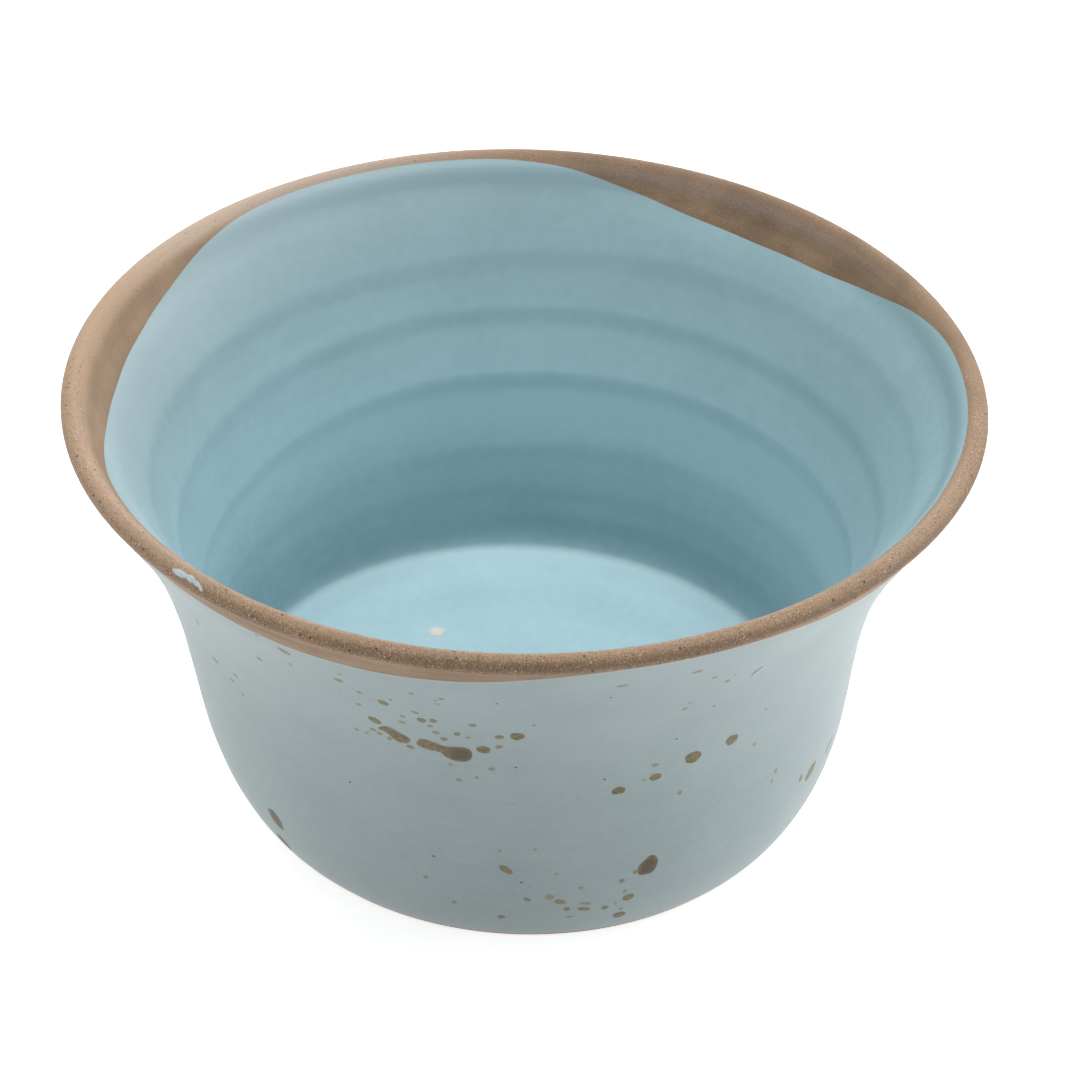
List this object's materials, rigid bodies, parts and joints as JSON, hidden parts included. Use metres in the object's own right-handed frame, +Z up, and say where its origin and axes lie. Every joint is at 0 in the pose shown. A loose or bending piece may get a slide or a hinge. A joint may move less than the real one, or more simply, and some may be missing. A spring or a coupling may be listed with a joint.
{
  "type": "serving bowl",
  "caption": "Deep bell-shaped stoneware serving bowl with a flared bare clay lip, pale blue satin glaze inside and out, and iron-brown splashes on the outer wall.",
  "frame": {"origin": "centre of the foot ring, on the table the bowl stands on", "axes": "+Z up along the bowl's own axis; -Y faces the viewer of the picture; +X to the viewer's right"},
  "size_m": [0.2399, 0.24, 0.124],
  "materials": {
    "stoneware": "bare speckled stoneware, fired, slightly rough",
    "inside_glaze": "satin pale blue glaze over throwing rings",
    "outside_glaze": "satin pale grey-blue glaze with fine specks",
    "iron_wash": "olive-brown iron wash sunk into the glaze"
  },
  "bodies": {
    "root": {"stoneware_body": "stoneware", "inside_glaze": "inside_glaze", "outside_glaze": "outside_glaze", "rim_fleck": "outside_glaze", "streak_splash": "iron_wash", "row_splash": "iron_wash", "oval_splash": "iron_wash", "low_splash": "iron_wash", "left_splash": "iron_wash", "right_splash": "iron_wash", "back_splash": "iron_wash"}
  },
  "joints": []
}
